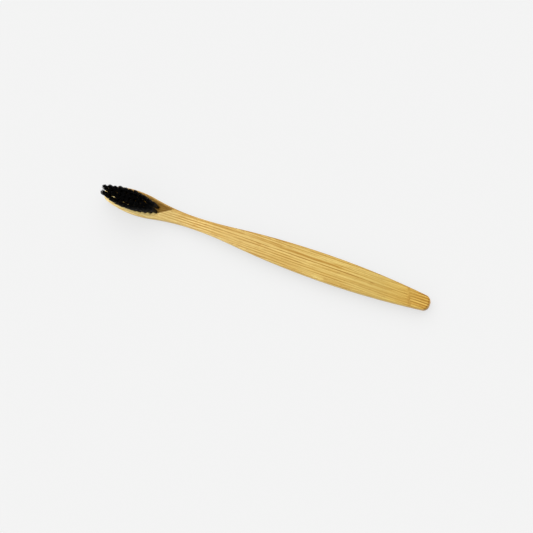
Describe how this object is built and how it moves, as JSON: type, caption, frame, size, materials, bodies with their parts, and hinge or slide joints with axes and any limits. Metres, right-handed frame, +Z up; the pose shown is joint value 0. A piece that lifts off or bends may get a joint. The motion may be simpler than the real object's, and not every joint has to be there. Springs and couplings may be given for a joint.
{
  "type": "manual toothbrush",
  "caption": "Manual toothbrush with a flat shaped bamboo handle and a head of dark bristle tufts, each folded under a metal anchor in a drilled hole.",
  "frame": {"origin": "on the flat back that the brush lies on, under the middle of its length and width", "axes": "+X along the handle towards the toe of the head, +Z up through the bristles, +Y to the left"},
  "size_m": [0.185, 0.0142, 0.016],
  "materials": {
    "bamboo": "sanded bamboo, matt",
    "bristles": "black nylon filaments",
    "anchor_metal": "rolled flat wire"
  },
  "bodies": {
    "root": {"anchors_row01": "anchor_metal", "anchors_row02": "anchor_metal", "anchors_row03": "anchor_metal", "anchors_row04": "anchor_metal", "anchors_row05": "anchor_metal", "anchors_row06": "anchor_metal", "anchors_row07": "anchor_metal", "anchors_row08": "anchor_metal", "anchors_row09": "anchor_metal", "anchors_row10": "anchor_metal", "anchors_row11": "anchor_metal", "handle": "bamboo", "tuft_row01_left": "bristles", "tuft_row01_right": "bristles", "tuft_row02_centre": "bristles", "tuft_row02_left": "bristles", "tuft_row02_right": "bristles", "tuft_row03_centre": "bristles", "tuft_row03_left": "bristles", "tuft_row03_right": "bristles", "tuft_row04_inner_left": "bristles", "tuft_row04_inner_right": "bristles", "tuft_row04_outer_left": "bristles", "tuft_row04_outer_right": "bristles", "tuft_row05_inner_left": "bristles", "tuft_row05_inner_right": "bristles", "tuft_row05_outer_left": "bristles", "tuft_row05_outer_right": "bristles", "tuft_row06_inner_left": "bristles", "tuft_row06_inner_right": "bristles", "tuft_row06_outer_left": "bristles", "tuft_row06_outer_right": "bristles", "tuft_row07_inner_left": "bristles", "tuft_row07_inner_right": "bristles", "tuft_row07_outer_left": "bristles", "tuft_row07_outer_right": "bristles", "tuft_row08_inner_left": "bristles", "tuft_row08_inner_right": "bristles", "tuft_row08_outer_left": "bristles", "tuft_row08_outer_right": "bristles", "tuft_row09_centre": "bristles", "tuft_row09_left": "bristles", "tuft_row09_right": "bristles", "tuft_row10_centre": "bristles", "tuft_row10_left": "bristles", "tuft_row10_right": "bristles", "tuft_row11_left": "bristles", "tuft_row11_right": "bristles"}
  },
  "joints": []
}
